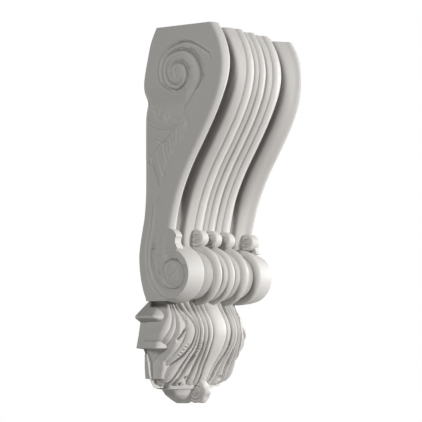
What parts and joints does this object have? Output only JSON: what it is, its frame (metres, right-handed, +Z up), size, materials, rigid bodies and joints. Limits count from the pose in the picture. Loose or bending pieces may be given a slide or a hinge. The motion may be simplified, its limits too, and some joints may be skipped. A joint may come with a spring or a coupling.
{
  "type": "corbel",
  "caption": "Scrolled bracket with a reeded front, a rolled bolster and a leaf-carved drop, fixed flat to a wall under a beam or shelf.",
  "frame": {"origin": "middle of the flat back, half way up, on the wall plane", "axes": "+Z up; the front faces -Y; the back's outward normal is +Y; X runs across the width"},
  "size_m": [0.2544, 0.1686, 0.6],
  "materials": {
    "plaster": "matte, warm off-white cast plaster, unpainted"
  },
  "bodies": {
    "root": {"corbel": "plaster"}
  },
  "joints": []
}
